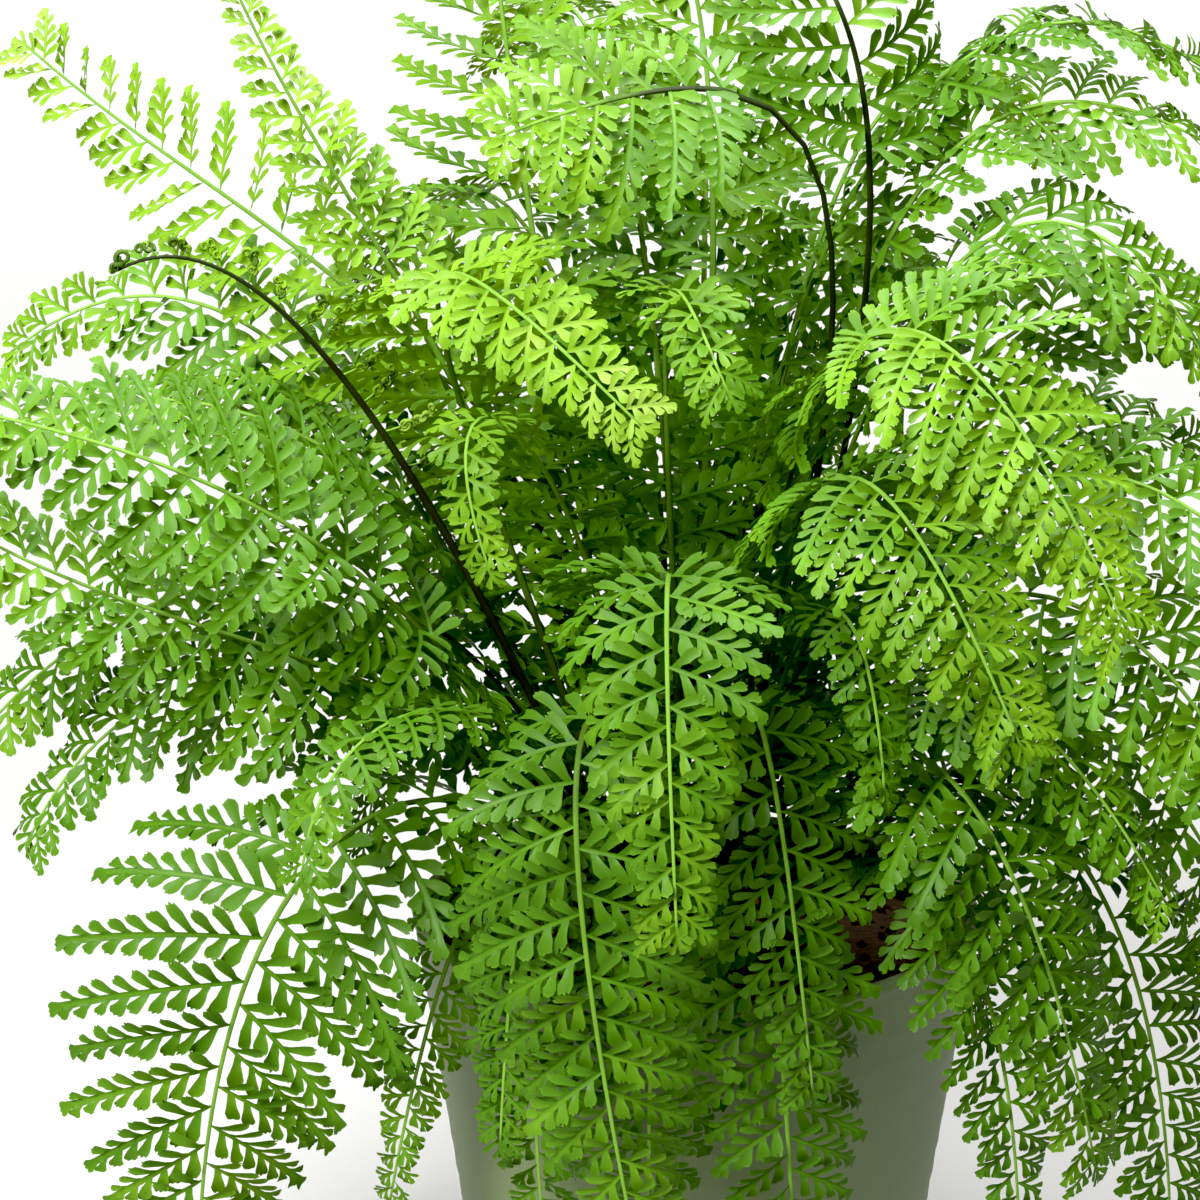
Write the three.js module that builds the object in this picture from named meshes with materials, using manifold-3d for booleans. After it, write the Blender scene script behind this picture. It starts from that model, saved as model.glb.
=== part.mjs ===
// A potted parvati fern: arching, finely cut fronds from one crown in a tapered pot.
// Millimetres, +Z up, origin at the centre of the pot's underside, front towards -Y.

import * as THREE from 'three';
import { mergeVertices } from 'three/addons/utils/BufferGeometryUtils.js';
import Module from 'manifold-3d';

const wasm = await Module();
wasm.setup();

// Pot: thrown and tapered, with a plain flat underside
const rimRadius = 80;
const footRadius = 57;
const potHeight = 150;
const potWall = 5;
const potFloor = 7;
const rimRound = 1.6;
const footBevel = 2;
const potSides = 30;

// Soil and crown stand a fitting gap clear of what holds them. The soil keeps further off the pot,
// whose flats come nearer than its corners.
const fitGap = 0.3;
const soilClearance = 0.9;
const soilTop = 138;
const soilDip = 1;
const crownRadius = 40;
const crownTop = 143;
const crownFlat = 0.88;
const crownSunk = 12;
const roundSides = 22;
const socketDepth = 3;
const socketLength = 30;

// Stalk and blade: full widths and thicknesses, and the stalk's bare share of the midrib, which is
// longer on an upright frond
const stalkFoot = 2.4;
const stalkNeck = 1.5;
const ribEnd = 0.8;
const ribThickness = 1;
const bladeThickness = 0.8;
const bareStalk = [0.24, 0.46];
const stalkSteps = 4;

// Every stalk leaves the crown by its level: 0 hangs outside, 0.5 spreads and 1 stands upright in
// the middle. Each row is the radius and height of root, rise, shoulder and tip, where rise and
// shoulder pull the midrib up and over.
const hanging = [[37, 138], [58, 205], [112, 225], [122, 62]];
const spreading = [[24, 140], [44, 290], [122, 332], [182, 205]];
const upright = [[5, 142], [14, 350], [62, 462], [160, 388]];

// Fronds set one by one, at the front and on both sides: azimuth and level of the stalk, rise,
// shoulder and tip of the midrib where they leave its usual way out, half the blade's width, how
// far the blade turns over on its midrib, and the stalk's bare share and the share of the blade's
// width at its foot where they aren't the usual ones
const frontFronds = [
  { azimuth: -97, level: 0.45, shoulder: [-15, -117, 323], tip: [-8, -136, 190], spread: 38 },
  { azimuth: -107.5, level: 0.26, shoulder: [-58, -140, 298], tip: [-12, -120, 72], spread: 41 },
  { azimuth: -50, level: 0.8, shoulder: [45, -75, 390], tip: [103, -113, 262], spread: 49, turn: 25 },
  { azimuth: -59, level: 0.6, shoulder: [32, -105, 342], tip: [78, -118, 232], spread: 44, turn: 18,
    bare: 0.41 },
  { azimuth: -150, level: 0.78, rise: [-80, 20, 330], shoulder: [-95, -60, 382], tip: [-16, -106, 312],
    spread: 36, turn: 20, bare: 0.42 },
  { azimuth: -138, level: 0.36, rise: [-66, -40, 262], shoulder: [-112, -98, 304],
    tip: [-214, -86, 318], spread: 43, turn: -50, bare: 0.3, foot: 0.8 },
  { azimuth: -151, level: 0.1, shoulder: [-132, -108, 236], tip: [-134, -84, 60], spread: 58, turn: -70 },
  { azimuth: -55, level: 0.2, shoulder: [72, -118, 262], tip: [102, -100, 112], spread: 40, turn: 15 },
  { azimuth: -82, level: 0.22, shoulder: [12, -104, 284], tip: [28, -102, 134], spread: 36 },
  { azimuth: -74, level: 0.02, shoulder: [16, -114, 205], tip: [26, -90, 62], spread: 32 },
  { azimuth: -22, level: 0.14, shoulder: [124, -70, 225], tip: [130, -50, 58], spread: 40, turn: 45 },
  { azimuth: -28, level: 0.42, shoulder: [112, -88, 300], tip: [154, -92, 175], spread: 40, turn: 30 },
  { azimuth: -10, level: 0.9, rise: [50, -5, 350], shoulder: [52, -28, 414], tip: [-55, -69, 377],
    spread: 42, turn: -40, bare: 0.8, foot: 0.85 },
  { azimuth: 23.75, level: 0.89, rise: [63, 11, 338], shoulder: [58.5, 4, 427], tip: [-9, 17, 430],
    spread: 38, turn: -30, bare: 0.7, foot: 0.85 },
  { azimuth: 74.25, level: 0.93, shoulder: [76, 46, 458], tip: [169, 37, 352], spread: 36, bare: 0.6 },
  { azimuth: 154, level: 0.7, shoulder: [-120, 32, 326.5], tip: [-186, 43, 386], spread: 42, turn: -74.5 },
  { azimuth: 165, level: 0.85, rise: [-50, 8, 300], shoulder: [-102, 0, 350], tip: [-126, 4, 412],
    spread: 24, turn: -60, bare: 0.5 },
  { azimuth: 16, level: 0.59, shoulder: [98, 12, 360], tip: [170, 4, 294], spread: 39, turn: 30 },
  { azimuth: -160, level: 0.22, shoulder: [-134, -57, 228], tip: [-208, -64, 288], spread: 42, turn: -50 },
  { azimuth: 178.5, level: 0.4, shoulder: [-154, -9, 270], tip: [-206, -18, 192], spread: 42.5,
    turn: -30 },
  { azimuth: -128, level: 0.66, shoulder: [-80, -90, 345], tip: [-54, -96, 272], spread: 24 },
  { azimuth: -105, level: 0.75, shoulder: [-20, -60, 375], tip: [5, -98, 318], spread: 36 },
  { azimuth: -48, level: 0.29, shoulder: [75, -95, 265], tip: [118, -100, 185], spread: 36, turn: 10 },
  { azimuth: -69, level: 0.34, shoulder: [40, -80, 290], tip: [45, -99, 215], spread: 23 },
  { azimuth: -142, level: 0.05, shoulder: [-66, -78, 190], tip: [-84, -62, 86], spread: 18, turn: -30 },
  { azimuth: -122, level: 0.03, shoulder: [-50, -104, 190], tip: [-42, -92, 95], spread: 30 },
  { azimuth: -97, level: 0, shoulder: [-16, -112, 190], tip: [-14, -90, 70], spread: 28 },
  { azimuth: -47, level: 0.03, shoulder: [79, -96, 205], tip: [84, -88, 82], spread: 27, turn: 20 },
  { azimuth: -126, level: 0.22, shoulder: [-97, -104, 257], tip: [-102, -112, 197], spread: 31.5 },
  { azimuth: -176, level: 0.15, shoulder: [-148, -20, 252], tip: [-182, -34, 180], spread: 42, turn: -30 },
  { azimuth: -18, level: 0.49, shoulder: [110, -53, 330], tip: [165, -75, 235], spread: 42, turn: 30 },
  { azimuth: -12, level: 0.24, shoulder: [125, -40, 250], tip: [160, -45, 120], spread: 44, turn: 40 },
  { azimuth: 5.5, level: 0.74, shoulder: [88, -7.5, 406], tip: [137.5, -34.5, 301.5], spread: 39,
    turn: 22, bare: 0.54 },
  { azimuth: 171.75, level: 0.455, shoulder: [-146, 4, 325], tip: [-206, -4, 274], spread: 39.5,
    turn: -20.5 },
  { azimuth: -62, level: 0.1, shoulder: [64, -101, 236], tip: [69, -98, 152], spread: 21 },
  { azimuth: -128, level: 0.1, shoulder: [-48, -94, 226], tip: [-53, -96, 118], spread: 24 },
  { azimuth: 32, level: 0.7, rise: [30, 16, 330], shoulder: [60, 18, 424], tip: [162, 16, 346],
    spread: 34, turn: 20, bare: 0.6 },
  { azimuth: 11, level: 0.5, shoulder: [118, 24, 322], tip: [167, 34, 240], spread: 40, turn: 20 },
  { azimuth: 116, level: 0.84, rise: [4, 28, 304], shoulder: [15, 42, 400], tip: [-18, 46, 440],
    spread: 34, turn: -30, bare: 0.6 },
  { azimuth: 155, level: 0.55, rise: [-70, 33, 264], shoulder: [-128, 56, 352], tip: [-196, 60, 294],
    spread: 38, turn: -48, bare: 0.45 },
  { azimuth: 152, level: 0.97, rise: [-45, 16, 290], shoulder: [-56, 34, 420], tip: [-62, 52, 462],
    spread: 44, turn: -56, bare: 0.5 },
];

// The other fronds fan out round the back by the golden ratio, from low to high
const backFronds = 15;
const backStart = 45;
const backSweep = 102;
const backTop = 0.96;
const backSpread = [35, 35.5];
const golden = 0.618034;

// The youngest leaf, still half rolled up
const youngFrond = {
  azimuth: -170, level: 0.72, rise: [-60, -16, 255], shoulder: [-109, -45, 366], tip: [-151, -56, 341],
  spread: 9, bare: 0.6,
};

// Leaflets as [along, across] points from the lower root round to the upper one, as shares of
// length and half width, and the triangles that fill them, counting both roots
const leafletForms = {
  lobed: {
    outline: [[0.36, -0.8], [0.52, -0.34], [1, 0], [0.46, 0.34], [0.28, 0.8]],
    fill: [[0, 1, 2], [0, 2, 6], [2, 4, 6], [4, 5, 6], [2, 3, 4]],
  },
  plain: {
    outline: [[0.36, -0.78], [1, 0], [0.28, 0.78]],
    fill: [[0, 1, 4], [1, 3, 4], [1, 2, 3]],
  },
  tooth: { outline: [[1, 0]], fill: [[0, 1, 2]] },
};
const frontForms = ['lobed', 'lobed', 'plain', 'plain', 'plain', 'plain', 'tooth', 'tooth'];
const backForms = ['lobed', 'plain', 'plain', 'plain', 'plain', 'tooth', 'tooth'];
const youngForms = ['plain', 'plain', 'tooth', 'tooth', 'tooth'];

// A leaflet's run: it lifts off the midrib, sags at its end and sweeps towards the tip. Its angle
// to the midrib closes from the lowest leaflet to the highest.
const leafletLift = 0.1;
const leafletSag = 0.3;
const leafletSweep = 0.16;
const lowestAngle = 86;
const highestAngle = 52;

// Leaflets crowd towards the tip and leave a last bit of the midrib, in leaflets, to the tip
const crowding = 1.25;
const tipShare = 0.6;

// The blade is widest a third of the way up, narrower where it leaves the bare stalk, and runs
// out in a curve to its tip
const widest = 0.3;
const footShare = 0.35;
const taper = 0.75;

// Shares of the midrib between which a blade turns over
const turnSpan = [0.25, 0.65];

const Z = new THREE.Vector3(0, 0, 1);

function mix(a, b, t) {
  return a + (b - a) * t;
}

function toSolid(geometry) {
  const plain = geometry.clone();
  plain.deleteAttribute('normal');
  plain.deleteAttribute('uv');
  const merged = mergeVertices(plain, 1e-4);
  return new wasm.Manifold(new wasm.Mesh({
    numProp: 3,
    vertProperties: new Float32Array(merged.attributes.position.array),
    triVerts: new Uint32Array(merged.index.array),
  }));
}

function toGeometry(solid) {
  const mesh = solid.getMesh();
  const geometry = new THREE.BufferGeometry();
  geometry.setAttribute('position', new THREE.BufferAttribute(mesh.vertProperties, 3));
  geometry.setIndex(new THREE.BufferAttribute(mesh.triVerts, 1));
  geometry.computeVertexNormals();
  return geometry;
}

// A turned solid from [radius, height] points, standing on +Z
function turned(profile, sides) {
  const points = profile.map(([radius, height]) => new THREE.Vector2(radius, height));
  return new THREE.LatheGeometry(points, sides).rotateX(Math.PI / 2);
}

function makePot() {
  const slope = (rimRadius - footRadius) / potHeight;
  const innerFoot = footRadius + slope * potFloor - potWall;
  return turned([
    [0, 0],
    [footRadius - footBevel, 0],
    [footRadius, footBevel],
    [rimRadius, potHeight - rimRound],
    [rimRadius - rimRound, potHeight],
    [rimRadius - potWall + rimRound, potHeight],
    [rimRadius - potWall, potHeight - rimRound],
    [innerFoot, potFloor],
    [0, potFloor],
  ], potSides);
}

// Soil fills the pot, with a plain hole where the crown sits
function makeSoil() {
  const slope = (rimRadius - footRadius) / potHeight;
  const inside = (height) => footRadius + slope * height - potWall - soilClearance;
  const hole = crownRadius + fitGap;
  const holeFloor = soilTop - crownSunk - fitGap;
  return turned([
    [0, potFloor + fitGap],
    [inside(potFloor), potFloor + fitGap],
    [inside(soilTop), soilTop - soilDip],
    [mix(inside(soilTop), hole, 0.5), soilTop],
    [hole, soilTop - soilDip],
    [hole, holeFloor],
    [0, holeFloor],
  ], roundSides);
}

// The crown: a low mound of old stalk feet, with a plain square hole for each stalk
function makeCrown(fronds) {
  let solid = toSolid(turned([
    [0, soilTop - crownSunk],
    [crownRadius, soilTop - crownSunk],
    [crownRadius, soilTop],
    [crownRadius * crownFlat, crownTop],
    [0, crownTop],
  ], roundSides));
  const width = stalkFoot + 2 * fitGap;
  for (const frond of fronds) {
    const course = midrib(frond);
    const start = course.getPointAt(0);
    const { side, up, along } = frameAt(course, 0);
    const socket = new THREE.BoxGeometry(width, width, socketLength);
    socket.translate(0, 0, socketLength / 2 - fitGap);
    socket.applyMatrix4(new THREE.Matrix4().makeBasis(side, up, along));
    socket.translate(start.x, start.y, start.z);
    solid = solid.subtract(toSolid(socket));
  }
  return toGeometry(solid);
}

// The crown's surface, where the stalks stand a few millimetres deep
function crownHeightAt(radius) {
  const edge = crownRadius * crownFlat;
  return mix(crownTop, soilTop, Math.max(0, (radius - edge) / (crownRadius - edge)));
}

// A place on the stalk's way out: k is 0 for root, 1 rise, 2 shoulder and 3 tip
function wayOut(azimuth, level, k) {
  const blend = (axis) => (level < 0.5
    ? mix(hanging[k][axis], spreading[k][axis], 2 * level)
    : mix(spreading[k][axis], upright[k][axis], 2 * level - 1));
  const angle = THREE.MathUtils.degToRad(azimuth);
  return new THREE.Vector3(blend(0) * Math.cos(angle), blend(0) * Math.sin(angle), blend(1));
}

function midrib({ azimuth, level, rise, shoulder, tip }) {
  const place = (point, k) => (point ? new THREE.Vector3(...point) : wayOut(azimuth, level, k));
  const root = wayOut(azimuth, level, 0);
  root.z = crownHeightAt(Math.hypot(root.x, root.y)) - socketDepth;
  return new THREE.CubicBezierCurve3(root, place(rise, 1), place(shoulder, 2), place(tip, 3));
}

// Directions on the midrib: along it, to its left side, and up off the blade's face
function frameAt(course, share, turn = 0) {
  const along = course.getTangentAt(share);
  const outward = course.v3.clone().sub(course.v0).setZ(0).normalize();
  const side = new THREE.Vector3().crossVectors(Z, outward);
  side.addScaledVector(along, -side.dot(along)).normalize();
  const roll = turn * THREE.MathUtils.smoothstep(share, ...turnSpan);
  side.applyAxisAngle(along, THREE.MathUtils.degToRad(roll));
  return { along, side, up: new THREE.Vector3().crossVectors(along, side) };
}

// One frond as a single closed shell. Every point of its outline is a pair, one on the upper and
// one on the lower skin, so both skins are split into the same triangles.
function frondGeometry(frond, forms) {
  const course = midrib(frond);
  const { turn } = frond;
  const bladeStart = frond.bare ?? mix(...bareStalk, frond.level);
  const positions = [];
  const faces = [];

  const pair = (centre, up, thickness) => {
    const index = positions.length / 3;
    for (const sign of [1, -1]) {
      const point = centre.clone().addScaledVector(up, sign * thickness / 2);
      positions.push(point.x, point.y, point.z);
    }
    return index;
  };
  const skin = (a, b, c) => faces.push(a, b, c, a + 1, c + 1, b + 1);
  const wall = (a, b) => faces.push(a, a + 1, b + 1, a, b + 1, b);

  const ribWidth = (share) => (share < bladeStart
    ? mix(stalkFoot, stalkNeck, share / bladeStart)
    : mix(stalkNeck, ribEnd, (share - bladeStart) / (1 - bladeStart)));
  const thickness = (share) => (share < bladeStart
    ? mix(stalkFoot, ribThickness, share / bladeStart)
    : mix(ribThickness, bladeThickness, (share - bladeStart) / (1 - bladeStart)));
  const edge = (share, sign) => {
    const { side, up } = frameAt(course, share, turn);
    const centre = course.getPointAt(share).addScaledVector(side, sign * ribWidth(share) / 2);
    return { share, index: pair(centre, up, thickness(share)) };
  };

  // Both edges of the midrib, where leaflets on the left stand half a step on from the right
  const blade = (step) => {
    const left = 1 - step / (forms.length + tipShare);
    return mix(bladeStart, 1, 1 - left ** crowding);
  };
  const edges = { 1: [], [-1]: [] };
  for (const sign of [-1, 1]) {
    for (let step = 0; step < stalkSteps; step += 1) {
      edges[sign].push(edge(bladeStart * step / stalkSteps, sign));
    }
    const offset = sign < 0 ? 0 : 0.5;
    forms.forEach((form, k) => {
      const lower = blade(k + offset);
      const upper = blade(k + 1 + offset);
      const leaflet = { form: leafletForms[form], share: (lower + upper) / 2, pitch: upper - lower };
      edges[sign].push({ ...edge(lower, sign), leaflet });
    });
    edges[sign].push(edge(blade(forms.length + offset), sign));
  }

  // The midrib's two skins, by whichever edge has the nearer next place
  const right = edges[-1];
  const left = edges[1];
  let i = 0;
  let j = 0;
  while (i < right.length - 1 || j < left.length - 1) {
    const advanceRight = j === left.length - 1
      || (i < right.length - 1 && right[i + 1].share <= left[j + 1].share);
    if (advanceRight) {
      skin(right[i].index, right[i + 1].index, left[j].index);
      i += 1;
    } else {
      skin(right[i].index, left[j + 1].index, left[j].index);
      j += 1;
    }
  }

  // A leaflet between two neighbouring places of an edge
  const length = course.getLength();
  const leaflet = ({ form, share, pitch }, first, last, sign) => {
    const { along, side, up } = frameAt(course, share, turn);
    const run = (share - bladeStart) / (1 - bladeStart);
    const reach = frond.spread * (run < widest
      ? mix(frond.foot ?? footShare, 1, run / widest)
      : ((1 - run) / (1 - widest)) ** taper);
    const lean = THREE.MathUtils.degToRad(mix(lowestAngle, highestAngle, run));
    const out = along.clone().multiplyScalar(Math.cos(lean)).addScaledVector(side, sign * Math.sin(lean));
    const halfPitch = pitch * length / 2;
    const centre = course.getPointAt(share);
    const ring = [first.index];
    for (const [u, v] of form.outline) {
      const point = centre.clone()
        .addScaledVector(out, u * reach)
        .addScaledVector(along, v * halfPitch)
        .addScaledVector(along, leafletSweep * reach * u * u)
        .addScaledVector(up, reach * u * (leafletLift - leafletSag * u));
      ring.push(pair(point, up, bladeThickness));
    }
    ring.push(last.index);
    for (const [a, b, c] of form.fill) {
      if (sign < 0) skin(ring[a], ring[b], ring[c]);
      else skin(ring[a], ring[c], ring[b]);
    }
    for (let k = 0; k < ring.length - 1; k += 1) {
      if (sign < 0) wall(ring[k], ring[k + 1]);
      else wall(ring[k + 1], ring[k]);
    }
  };
  for (const sign of [-1, 1]) {
    const line = edges[sign];
    for (let k = 0; k < line.length - 1; k += 1) {
      if (line[k].leaflet) leaflet(line[k].leaflet, line[k], line[k + 1], sign);
      else if (sign < 0) wall(line[k].index, line[k + 1].index);
      else wall(line[k + 1].index, line[k].index);
    }
  }

  // The root end, and the tip that closes the blade
  wall(left[0].index, right[0].index);
  const { up } = frameAt(course, 1, turn);
  const tip = pair(course.getPointAt(1), up, bladeThickness);
  skin(right.at(-1).index, tip, left.at(-1).index);
  wall(right.at(-1).index, tip);
  wall(tip, left.at(-1).index);

  const geometry = new THREE.BufferGeometry();
  geometry.setAttribute('position', new THREE.Float32BufferAttribute(positions, 3));
  geometry.setIndex(faces);
  geometry.computeVertexNormals();
  return geometry;
}

function backFrond(order) {
  return {
    azimuth: backStart + backSweep * ((order * golden) % 1),
    level: backTop * (order + 0.5) / backFronds,
    spread: mix(...backSpread, (order * golden * golden) % 1),
  };
}

const finishes = {
  pot: { color: 0x7d9072, roughness: 0.8, metalness: 0 },
  soil: { color: 0x3b2a1d, roughness: 1, metalness: 0 },
  crown: { color: 0x2f261a, roughness: 0.95, metalness: 0 },
  frond: { color: 0x5da02c, roughness: 0.55, metalness: 0 },
  young: { color: 0x8aa63c, roughness: 0.55, metalness: 0 },
};

const fern = new THREE.Group();

function addPiece(name, geometry, finish) {
  const mesh = new THREE.Mesh(geometry, new THREE.MeshStandardMaterial(finishes[finish]));
  mesh.name = name;
  fern.add(mesh);
}

const backs = Array.from({ length: backFronds }, (_, order) => backFrond(order));
const fronds = [...frontFronds, ...backs];

addPiece('pot', makePot(), 'pot');
addPiece('soil', makeSoil(), 'soil');
addPiece('crown', makeCrown([...fronds, youngFrond]), 'crown');
fronds.forEach((frond, k) => {
  const forms = k < frontFronds.length ? frontForms : backForms;
  addPiece(`frond_${String(k + 1).padStart(2, '0')}`, frondGeometry(frond, forms), 'frond');
});
addPiece('young_frond', frondGeometry(youngFrond, youngForms), 'young');

export default fern;
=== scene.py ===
import math

import bpy
import numpy as np
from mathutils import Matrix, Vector


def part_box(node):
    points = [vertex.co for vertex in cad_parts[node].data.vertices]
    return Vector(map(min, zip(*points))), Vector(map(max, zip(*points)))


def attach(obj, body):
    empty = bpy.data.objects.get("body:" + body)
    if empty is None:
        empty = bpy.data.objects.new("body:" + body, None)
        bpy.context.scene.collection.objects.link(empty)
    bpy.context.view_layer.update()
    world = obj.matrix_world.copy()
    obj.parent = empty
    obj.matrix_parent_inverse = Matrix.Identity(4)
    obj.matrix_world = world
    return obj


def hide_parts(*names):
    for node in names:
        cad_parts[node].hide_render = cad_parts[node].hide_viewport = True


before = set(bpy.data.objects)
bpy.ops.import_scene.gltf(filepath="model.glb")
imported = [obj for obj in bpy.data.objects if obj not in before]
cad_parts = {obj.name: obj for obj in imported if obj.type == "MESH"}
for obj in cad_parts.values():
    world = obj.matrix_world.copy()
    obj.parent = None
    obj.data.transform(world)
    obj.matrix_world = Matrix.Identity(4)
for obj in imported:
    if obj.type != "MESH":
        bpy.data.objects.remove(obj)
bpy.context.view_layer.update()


# The pot
# A plain thrown stoneware pot, wider at its rounded rim than at its foot, with a thin wall and
# potting soil nearly up to the rim. Its matte sage glaze runs over rim, outside and foot.

MM = 0.001
POT_SIDES = 160
POT_RINGS = 49
POT_FOOT = 57.0
POT_FOOT_ROUND = 3.0
POT_FOOT_STEPS = 5
POT_BOTTOM_RINGS = [0.0, 20.0, 40.0, 50.0]
POT_WALL = 5.0
POT_FLOOR = 7.0
POT_RIM_STEPS = 10
POT_INSIDE_DROPS = [6.0, 14.0, 40.0, 90.0]

# The faint rings that the fingers leave, how they come and go up the wall, and how far and over
# what height the pot leans out of round
POT_THROWING = 0.25
THROWING_PITCH = 9.0
THROWING_SWELL = 31.0
POT_WOBBLE = 0.12
WOBBLE_RISE = 60.0


def linear(code):
    """A colour given as an sRGB hex value, as the linear one that shaders take."""
    parts = [int(code[k:k + 2], 16) / 255 for k in (0, 2, 4)]
    bent = [p / 12.92 if p <= 0.04045 else ((p + 0.055) / 1.055) ** 2.4 for p in parts]
    return (*bent, 1.0)


def add_node(tree, kind, inputs, **settings):
    """Adds a shader node. An input is a plain value, or (node, output) for a link."""
    made = tree.nodes.new(kind)
    for name, value in settings.items():
        setattr(made, name, value)
    for socket, value in inputs.items():
        if isinstance(value, tuple) and isinstance(value[0], bpy.types.Node):
            source, output = value
            tree.links.new(source.outputs[output], made.inputs[socket])
        else:
            made.inputs[socket].default_value = value
    return made


def new_finish(name):
    """A material with an empty node tree, and that tree."""
    made = bpy.data.materials.new(name)
    made.use_nodes = True
    made.node_tree.nodes.clear()
    return made, made.node_tree


def smooth_piece(name, points, faces, finishes, face_finish=None, marks=None):
    """A smooth-shaded piece from points in millimetres, with a named number at each point."""
    mesh = bpy.data.meshes.new(name)
    mesh.from_pydata((np.asarray(points, float) * MM).tolist(), [], faces)
    for finish in finishes:
        mesh.materials.append(finish)
    mesh.shade_smooth()
    if face_finish is not None:
        mesh.polygons.foreach_set("material_index", face_finish)
    for mark, values in (marks or {}).items():
        made = mesh.attributes.new(mark, "FLOAT", "POINT")
        made.data.foreach_set("value", np.asarray(values, np.float32))
    mesh.validate()
    thing = bpy.data.objects.new(name, mesh)
    bpy.context.scene.collection.objects.link(thing)
    return thing


def arc(centre, radius, start, end, steps):
    """Points of a round stretch in a turned outline, from one angle in degrees to another."""
    angles = np.radians(np.linspace(start, end, steps + 1))
    return [(centre[0] + radius * math.cos(a), centre[1] + radius * math.sin(a)) for a in angles]


def ring_faces(first, rows, sides, flip=False):
    """Faces between rows of points that each run once round. A flipped one looks the other way."""
    faces = []
    for row in range(rows - 1):
        low = first + row * sides
        high = low + sides
        for k in range(sides):
            nxt = (k + 1) % sides
            if flip:
                faces.append((low + k, high + k, high + nxt, low + nxt))
            else:
                faces.append((low + k, low + nxt, high + nxt, high + k))
    return faces


def turned(outline, sides, wobble):
    """Points and faces of an outline of (radius, height) turned on the pot's axis, and by wobble
    out of round."""
    outline = np.array(outline)
    angles = np.linspace(0, 2 * np.pi, sides, endpoint=False)
    radius = outline[:, 0][:, None] + 0 * angles[None]
    lean = np.sin(angles[None] * 2 + outline[:, 1][:, None] / WOBBLE_RISE)
    radius = np.where(radius > 1, radius + wobble * lean, radius)
    points = np.stack([radius * np.cos(angles), radius * np.sin(angles),
                       outline[:, 1][:, None] + 0 * radius], axis=-1).reshape(-1, 3)
    return points, ring_faces(0, len(outline), sides)


pot_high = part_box("pot")[1]
pot_height = pot_high.z / MM
pot_rim = pot_high.x / MM
pot_slope = (pot_rim - POT_FOOT) / pot_height
rim_half = POT_WALL / 2

outline = [(radius, 0.0) for radius in POT_BOTTOM_RINGS]
outline += arc((POT_FOOT - POT_FOOT_ROUND, POT_FOOT_ROUND), POT_FOOT_ROUND, -90, 0, POT_FOOT_STEPS)
for step in range(1, POT_RINGS - 1):
    height = pot_height * step / POT_RINGS + POT_FOOT_ROUND
    swell = math.sin(height / THROWING_SWELL)
    ring = POT_THROWING * math.sin(height * 2 * math.pi / THROWING_PITCH) * swell
    outline.append((POT_FOOT + pot_slope * height + ring, height))
outline += arc((pot_rim - rim_half, pot_height - rim_half), rim_half, 0, 180, POT_RIM_STEPS)
for drop in POT_INSIDE_DROPS:
    outline.append((pot_rim - POT_WALL - pot_slope * drop, pot_height - drop))
outline += [(POT_FOOT - POT_WALL + pot_slope * POT_FLOOR, POT_FLOOR), (0.0, POT_FLOOR)]
points, faces = turned(outline, POT_SIDES, POT_WOBBLE)

# Stoneware under a matte sage glaze, sprayed and fired: soft broad highlights, a tone that drifts
# over some 70 mm where the glaze lies thicker, and darker specks. The specks are drawn 1 mm
# wide, a little coarser than real ones, so that they show.
glaze, tree = new_finish("matte_sage_glaze_on_stoneware")
place = add_node(tree, "ShaderNodeTexCoord", {})
drift = add_node(tree, "ShaderNodeTexNoise", {
    "Vector": (place, "Object"), "Scale": 14.0, "Detail": 3.0})
tone = add_node(tree, "ShaderNodeMix", {
    0: (drift, "Fac"), 6: linear("5A6842"), 7: linear("69784E")}, data_type="RGBA")
specks = add_node(tree, "ShaderNodeTexNoise", {
    "Vector": (place, "Object"), "Scale": 900.0, "Detail": 2.0})
speck_share = add_node(tree, "ShaderNodeMapRange", {
    0: (specks, "Fac"), 1: 0.62, 2: 0.72, 3: 0.0, 4: 0.35})
speckled = add_node(tree, "ShaderNodeMix", {
    0: (speck_share, 0), 6: (tone, 2), 7: linear("444F30")}, data_type="RGBA")
grain = add_node(tree, "ShaderNodeBump", {
    "Height": (specks, "Fac"), "Strength": 0.12, "Distance": 0.0004})
shader = add_node(tree, "ShaderNodeBsdfPrincipled", {
    "Base Color": (speckled, 2), "Roughness": 0.55, "IOR": 1.5, "Normal": (grain, "Normal")})
add_node(tree, "ShaderNodeOutputMaterial", {"Surface": (shader, "BSDF")})

pot = smooth_piece("stoneware_pot", points, faces, [glaze])
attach(pot, "root")
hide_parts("pot")


# The soil
# Damp peat and fine bark, filled in loosely and pressed down by watering, so it is lumpy but for a
# smoother strip along the pot's wall. Small crumbs of bark lie loose on it, round the crown.

SOIL_RINGS = 46
SOIL_SIDES = 190
SOIL_CROWDING = 0.9
SOIL_DROP = 1.2
SOIL_WALL_GAP = 0.4
SOIL_FALL = 6.0
SOIL_LUMP = 1.3
SOIL_LUMP_WIDTH = 7.0
SOIL_GRAIN = 0.5
SOIL_GRAIN_WIDTH = 1.7
LUMP_WAVES = 9
CRUMBS = 520
CRUMB_SIZE = [0.8, 2.6]
CRUMB_SINK = 0.9
CRUMBS_FROM = 41.0
CRUMBS_SHORT = 2.0
soil_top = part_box("soil")[1].z / MM
soil_edge = pot_rim - POT_WALL - pot_slope * (pot_height - soil_top) - SOIL_WALL_GAP


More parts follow.
